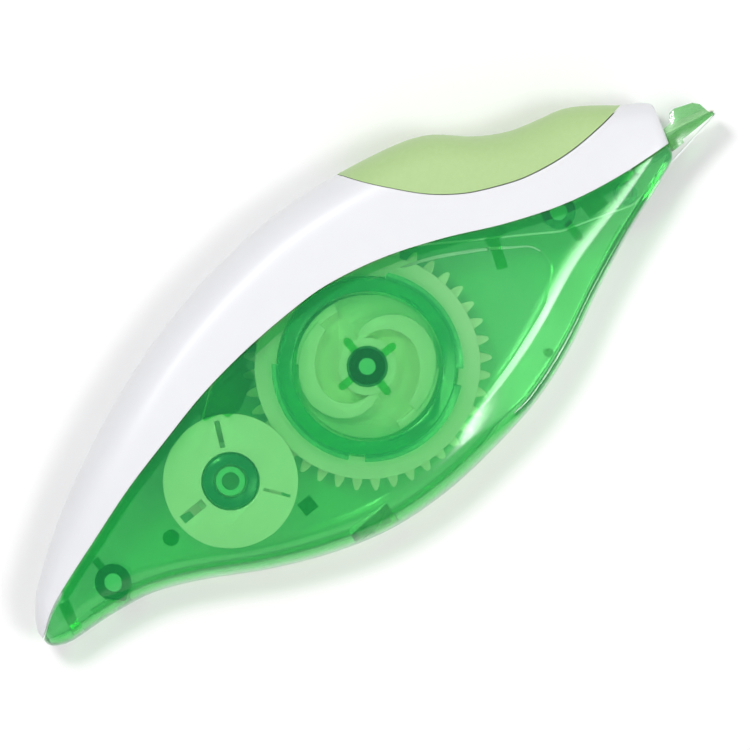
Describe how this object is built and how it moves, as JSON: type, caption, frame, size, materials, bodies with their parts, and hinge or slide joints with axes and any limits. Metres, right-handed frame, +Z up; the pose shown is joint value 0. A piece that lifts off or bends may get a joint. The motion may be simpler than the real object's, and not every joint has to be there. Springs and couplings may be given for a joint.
{
  "type": "correction tape roller",
  "caption": "Hand-held correction tape roller: a clear two-part case with a white spine cover and soft grip, geared tape reels and an applicator tip.",
  "frame": {"origin": "centre of the bounding box's bottom face, on the surface that the roller's back face lies on", "axes": "+X from the tail to the applicator tip, +Y from the tape side to the grip side, +Z up through the thickness, out of the back face towards the front face"},
  "size_m": [0.1151, 0.0438, 0.015],
  "materials": {
    "clear_green": "clear tinted, polished",
    "pale_clear_green": "clear tinted, polished",
    "core_green": "clear tinted",
    "white_gloss": "gloss",
    "natural_white": "satin",
    "grip_rubber": "matte",
    "correction_film": "matte",
    "release_liner": "satin"
  },
  "bodies": {
    "case": {"front_shell": "clear_green", "back_shell": "clear_green", "spine_cover": "white_gloss", "thumb_grip": "grip_rubber", "applicator_tip": "pale_clear_green", "tape_feed_run": "correction_film", "liner_return_run": "release_liner"},
    "drive_gear": {"supply_gear": "natural_white", "clutch_disc": "natural_white"},
    "supply_reel": {"supply_core": "core_green", "supply_tape_coil": "correction_film"},
    "takeup_reel": {"takeup_gear": "natural_white", "takeup_core": "core_green", "takeup_flange": "natural_white", "takeup_liner_coil": "release_liner"},
    "guide": {"guide_roller": "core_green"}
  },
  "joints": [
    {"name": "gear_spin", "type": "hinge", "parent": "case", "child": "drive_gear", "pos_m": [-0.0005, -0.00195, 0.0036], "axis": [0, 0, 1], "continuous": true},
    {"name": "clutch_slip", "type": "hinge", "parent": "drive_gear", "child": "supply_reel", "pos_m": [-0.0005, -0.00195, 0.0075], "axis": [0, 0, 1], "continuous": true},
    {"name": "takeup_spin", "type": "hinge", "parent": "case", "child": "takeup_reel", "pos_m": [-0.02449, -0.00258, 0.0036], "axis": [0, 0, 1], "continuous": true},
    {"name": "guide_spin", "type": "hinge", "parent": "case", "child": "guide", "pos_m": [0.0412, -0.00535, 0.0075], "axis": [0, 0, 1], "continuous": true}
  ],
  "couplings": [
    {"joint": "takeup_spin", "follows": "gear_spin", "ratio": -2}
  ]
}
